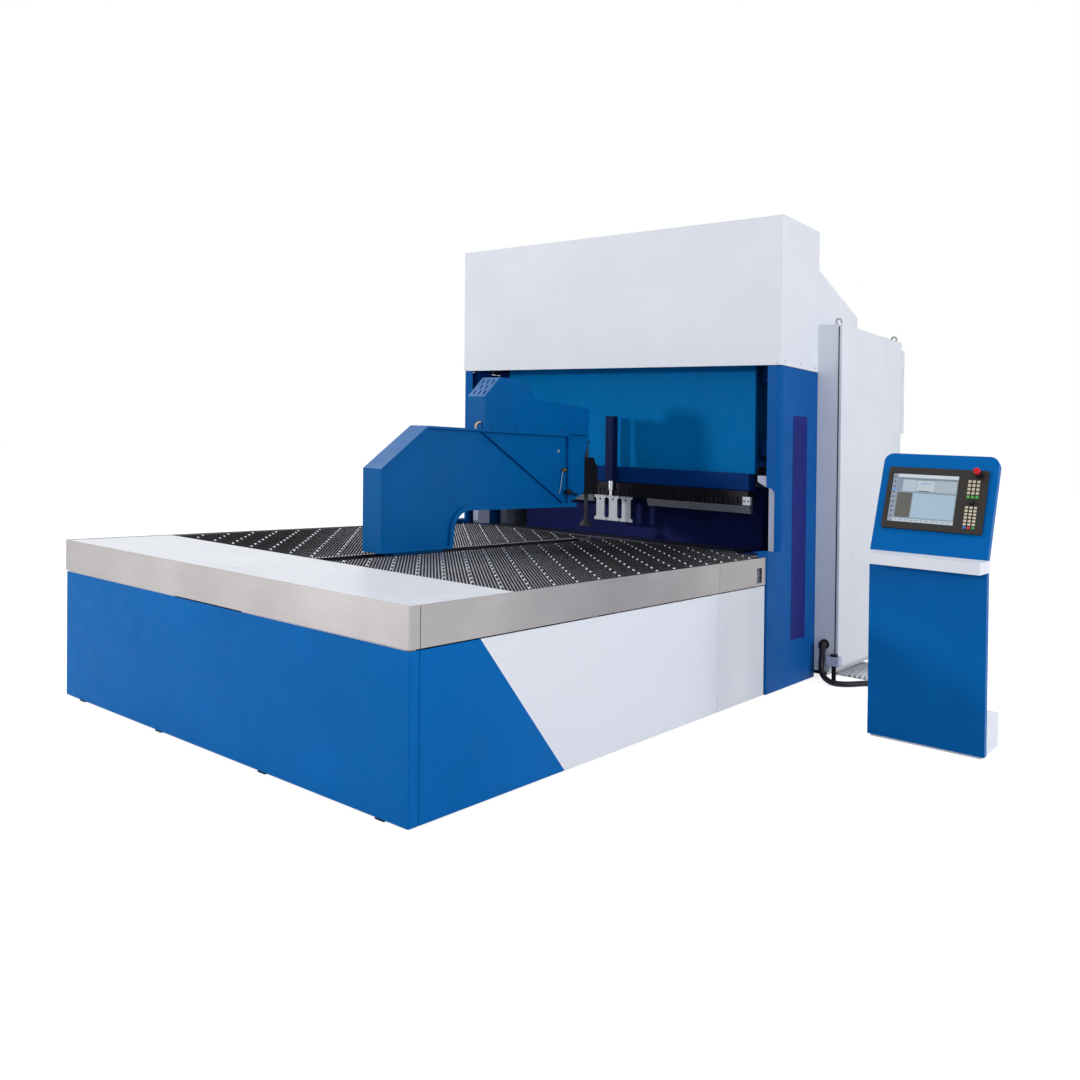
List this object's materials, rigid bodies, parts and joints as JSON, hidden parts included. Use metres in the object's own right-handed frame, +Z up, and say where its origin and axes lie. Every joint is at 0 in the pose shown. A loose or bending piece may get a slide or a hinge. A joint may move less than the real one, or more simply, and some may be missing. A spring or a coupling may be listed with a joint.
{
  "type": "panel bender",
  "caption": "Panel bender with a brush table, a sheet manipulator on a long arm, a tall bending head and a free-standing control console.",
  "frame": {"origin": "on the floor below the middle of the bend line, under the head's middle front foot", "axes": "+X to the right along the bend line seen from the loading end, +Y from the table into the bending head, +Z up"},
  "size_m": [4.729, 5.5, 3.319],
  "materials": {
    "blue_paint": "satin powder coat",
    "console_paint": "satin powder coat",
    "white_paint": "satin powder coat",
    "navy_paint": "satin powder coat",
    "black_paint": "semi-gloss",
    "frame_paint": "satin",
    "stainless": "brushed",
    "ground_steel": "ground",
    "tool_steel": "ground and oiled",
    "tool_oxide": "black oxide",
    "foot_steel": "blackened",
    "brush_fibre": "bristles",
    "lamp_plastic": "translucent sheet",
    "bezel_plastic": "moulded",
    "screen_glass": "display",
    "key_plastic": "membrane keys",
    "black_plastic": "moulded",
    "hose_plastic": "corrugated hose",
    "yellow_plastic": "moulded",
    "red_plastic": "moulded"
  },
  "bodies": {
    "machine": {"table_trestles": "frame_paint", "guide_bed": "frame_paint", "guide_rails": "ground_steel", "travel_screw": "ground_steel", "levelling_feet": "foot_steel", "front_panel": "blue_paint", "side_panels": "blue_paint", "front_fascia": "stainless", "side_fascias": "stainless", "front_decks": "white_paint", "brush_bed_right": "brush_fibre", "brush_bed_left": "brush_fibre", "machine_base": "black_paint", "upright_right": "frame_paint", "upright_left": "frame_paint", "side_cover_right": "blue_paint", "side_cover_left": "blue_paint", "light_strips": "lamp_plastic", "upper_cover": "white_paint", "rear_hood": "white_paint", "rear_side_panels": "white_paint", "roof_panel": "white_paint", "rear_panel": "white_paint", "cabinet_cooler": "white_paint", "lifting_eyes": "foot_steel", "jack_blocks": "frame_paint", "lower_beam": "navy_paint", "counterblade": "tool_steel", "beam_guides": "frame_paint", "crown_beam": "frame_paint", "cable_cover": "stainless", "console_body": "console_paint", "console_foot": "white_paint", "console_shelf": "white_paint", "console_bezel": "bezel_plastic", "console_screen": "screen_glass", "console_keys": "key_plastic", "estop_collar": "yellow_plastic", "hose_glands": "black_plastic", "control_hose": "hose_plastic"},
    "upper_beam": {"upper_beam": "blue_paint", "tool_rail": "blue_paint", "tool_segments": "tool_oxide", "centre_tools": "white_paint", "beam_rods": "ground_steel", "tool_cylinder": "black_paint"},
    "tool_rod": {"tool_rod": "ground_steel"},
    "blade_saddle": {"blade_saddle": "frame_paint"},
    "blade_carrier": {"blade_carrier": "navy_paint", "bending_blades": "tool_steel"},
    "manipulator": {"manipulator_frame": "blue_paint", "motor_cover": "blue_paint", "carriage": "frame_paint", "clamp_bracket": "black_paint", "clamp_drive": "black_paint"},
    "clamp_ram": {"clamp_ram": "ground_steel"},
    "clamp_pad": {"clamp_pad": "tool_steel"},
    "lower_rotor": {"lower_rotor": "tool_steel"},
    "estop_button": {"estop_button": "red_plastic"},
    "override_knob": {"override_knob": "black_plastic"}
  },
  "joints": [
    {"name": "manipulator_travel", "type": "slide", "parent": "machine", "child": "manipulator", "axis": [0, 1, 0], "range_m": [-0.55, 0.1]},
    {"name": "clamp_press", "type": "slide", "parent": "manipulator", "child": "clamp_ram", "axis": [0, 0, 1], "range_m": [-0.088, 0.03]},
    {"name": "clamp_turn", "type": "hinge", "parent": "clamp_ram", "child": "clamp_pad", "pos_m": [0, -0.45, 1.07], "axis": [0, 0, 1], "continuous": true},
    {"name": "rotor_turn", "type": "hinge", "parent": "manipulator", "child": "lower_rotor", "pos_m": [0, -0.45, 0.94], "axis": [0, 0, 1], "continuous": true},
    {"name": "beam_lift", "type": "slide", "parent": "machine", "child": "upper_beam", "axis": [0, 0, 1], "range_m": [-0.115, 0.04]},
    {"name": "tool_shift", "type": "slide", "parent": "upper_beam", "child": "tool_rod", "axis": [0, 0, 1], "range_m": [0, 0.06]},
    {"name": "blade_feed", "type": "slide", "parent": "machine", "child": "blade_saddle", "axis": [0, 1, 0], "range_m": [-0.006, 0.06]},
    {"name": "blade_lift", "type": "slide", "parent": "blade_saddle", "child": "blade_carrier", "axis": [0, 0, 1], "range_m": [-0.36, 0.04]},
    {"name": "estop_press", "type": "slide", "parent": "machine", "child": "estop_button", "axis": [0, -0.9205, 0.3907], "range_m": [-0.008, 0], "stiffness_N_per_m": 900, "springref_m": 0.001},
    {"name": "override_turn", "type": "hinge", "parent": "machine", "child": "override_knob", "pos_m": [2.881, -0.67574, 1.42357], "axis": [0, -0.9205, 0.3907], "range_deg": [-135, 135]}
  ],
  "couplings": [
    {"joint": "rotor_turn", "follows": "clamp_turn", "ratio": 1}
  ]
}
